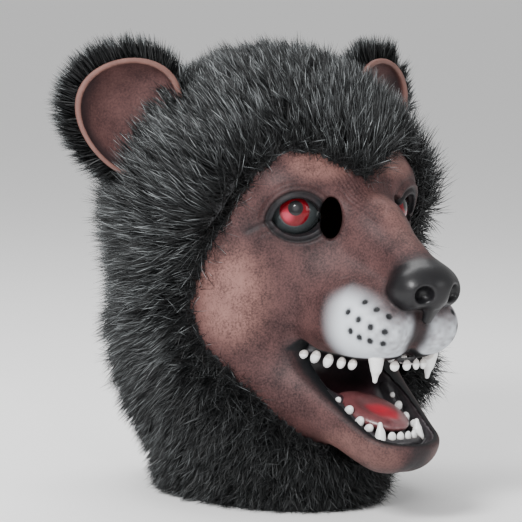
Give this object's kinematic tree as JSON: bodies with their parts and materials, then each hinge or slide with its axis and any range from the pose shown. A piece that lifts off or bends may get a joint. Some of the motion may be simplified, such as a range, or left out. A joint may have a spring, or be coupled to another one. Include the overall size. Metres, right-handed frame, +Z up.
{
  "type": "bear mask",
  "caption": "Full-head bear mask: hollow latex head with open toothed mouth, glossy nose, eyes with sight holes beside them, cupped ears and a deep fur hood.",
  "frame": {"origin": "on the floor that the neck stands on, under the middle of the mask's box", "axes": "+Z up through the crown, the face looks along -Y, +X is the mask's own left"},
  "size_m": [0.3852, 0.3608, 0.3851],
  "materials": {
    "latex": "matt painted latex, mauve brown, rubbed highs",
    "ear_latex": "matt painted latex, pinkish brown",
    "nose": "glossy black paint over latex",
    "gum": "satin black and dark red paint over latex",
    "tongue": "satin pink with a bright red middle",
    "enamel": "chalk white paint, satin",
    "eye": "high gloss, red iris on black",
    "fur": "deep pile, charcoal with silver tips",
    "hem": "black woven binding"
  },
  "bodies": {
    "root": {"ear_fur_left": "fur", "ear_fur_right": "fur", "ear_left": "ear_latex", "ear_right": "ear_latex", "eye_left": "eye", "eye_right": "eye", "fur_hood": "fur", "head_shell_back_left": "latex", "head_shell_back_right": "latex", "head_shell_front_left": "latex", "head_shell_front_right": "latex", "lower_tooth_01": "enamel", "lower_tooth_02": "enamel", "lower_tooth_03": "enamel", "lower_tooth_04": "enamel", "lower_tooth_05": "enamel", "lower_tooth_06": "enamel", "lower_tooth_07": "enamel", "lower_tooth_08": "enamel", "lower_tooth_09": "enamel", "lower_tooth_10": "enamel", "lower_tooth_11": "enamel", "lower_tooth_12": "enamel", "lower_tooth_13": "enamel", "lower_tooth_14": "enamel", "mouth_lining": "gum", "neck_hem_back": "hem", "neck_hem_front": "hem", "nose_pad": "nose", "tongue": "tongue", "upper_tooth_01": "enamel", "upper_tooth_02": "enamel", "upper_tooth_03": "enamel", "upper_tooth_04": "enamel", "upper_tooth_05": "enamel", "upper_tooth_06": "enamel", "upper_tooth_07": "enamel", "upper_tooth_08": "enamel", "upper_tooth_09": "enamel", "upper_tooth_10": "enamel", "upper_tooth_11": "enamel", "upper_tooth_12": "enamel", "upper_tooth_13": "enamel", "upper_tooth_14": "enamel", "upper_tooth_15": "enamel", "upper_tooth_16": "enamel"}
  },
  "joints": []
}
